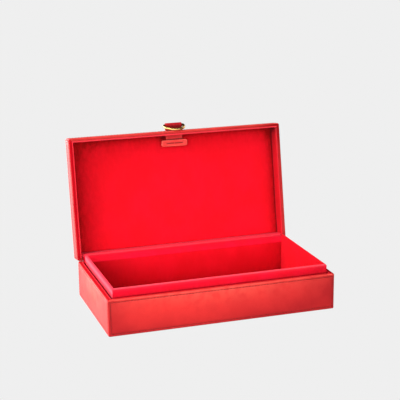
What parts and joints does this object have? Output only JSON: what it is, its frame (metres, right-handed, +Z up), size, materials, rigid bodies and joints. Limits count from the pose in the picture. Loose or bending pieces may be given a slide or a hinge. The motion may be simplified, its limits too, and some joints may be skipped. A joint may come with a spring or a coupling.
{
  "type": "stationery box",
  "caption": "Shallow rectangular leather-covered box with a suede-lined tray, a raised inner collar and a back-hinged lid with a ring pull on its front edge.",
  "frame": {"origin": "middle of the base's underside", "axes": "+X to the right along the long side, +Y to the back where the hinges are, +Z up; the front with the ring faces -Y"},
  "size_m": [0.32, 0.2296, 0.2309],
  "materials": {
    "red_leather": "fine grain, satin, with tone-on-tone stitching along the panel edges",
    "red_suede": "matt nap",
    "poplar_board": "plain sawn, hidden",
    "underside_cloth": "matt felt",
    "polished_brass": "polished"
  },
  "bodies": {
    "base": {"underside_cover": "underside_cloth", "base_bottom_board": "poplar_board", "base_front_leather": "red_leather", "base_front_board": "poplar_board", "base_front_lining": "red_suede", "base_back_leather": "red_leather", "base_back_board": "poplar_board", "base_back_lining": "red_suede", "base_left_leather": "red_leather", "base_left_board": "poplar_board", "base_left_lining": "red_suede", "base_right_leather": "red_leather", "base_right_board": "poplar_board", "base_right_lining": "red_suede", "liner_front": "red_suede", "liner_back": "red_suede", "liner_left": "red_suede", "liner_right": "red_suede", "liner_floor": "red_suede", "hinge_lining": "red_suede", "left_hinge_base_leaf": "polished_brass", "right_hinge_base_leaf": "polished_brass", "left_hinge_pin": "polished_brass", "right_hinge_pin": "polished_brass", "base_hinge_screws": "polished_brass"},
    "lid": {"lid_top_leather": "red_leather", "lid_top_board": "poplar_board", "lid_front_leather": "red_leather", "lid_front_board": "poplar_board", "lid_back_leather": "red_leather", "lid_back_board": "poplar_board", "lid_left_leather": "red_leather", "lid_left_board": "poplar_board", "lid_right_leather": "red_leather", "lid_right_board": "poplar_board", "lid_front_lining": "red_suede", "lid_left_lining": "red_suede", "lid_right_lining": "red_suede", "lid_back_pad": "red_suede", "lid_panel": "red_suede", "pull_strap": "red_leather", "strap_keeper": "red_leather", "left_hinge_lid_leaf": "polished_brass", "right_hinge_lid_leaf": "polished_brass", "lid_hinge_screws": "polished_brass"},
    "ring": {"pull_ring": "polished_brass"}
  },
  "joints": [
    {"name": "lid_hinge", "type": "hinge", "parent": "base", "child": "lid", "pos_m": [0, 0.0875, 0.0505], "axis": [1, 0, 0], "range_deg": [0, 100.2], "deforming": ["hinge_lining"]},
    {"name": "ring_swing", "type": "hinge", "parent": "lid", "child": "ring", "pos_m": [0, 0.137, 0.22733], "axis": [-1, 0, 0], "range_deg": [0, 240]}
  ]
}
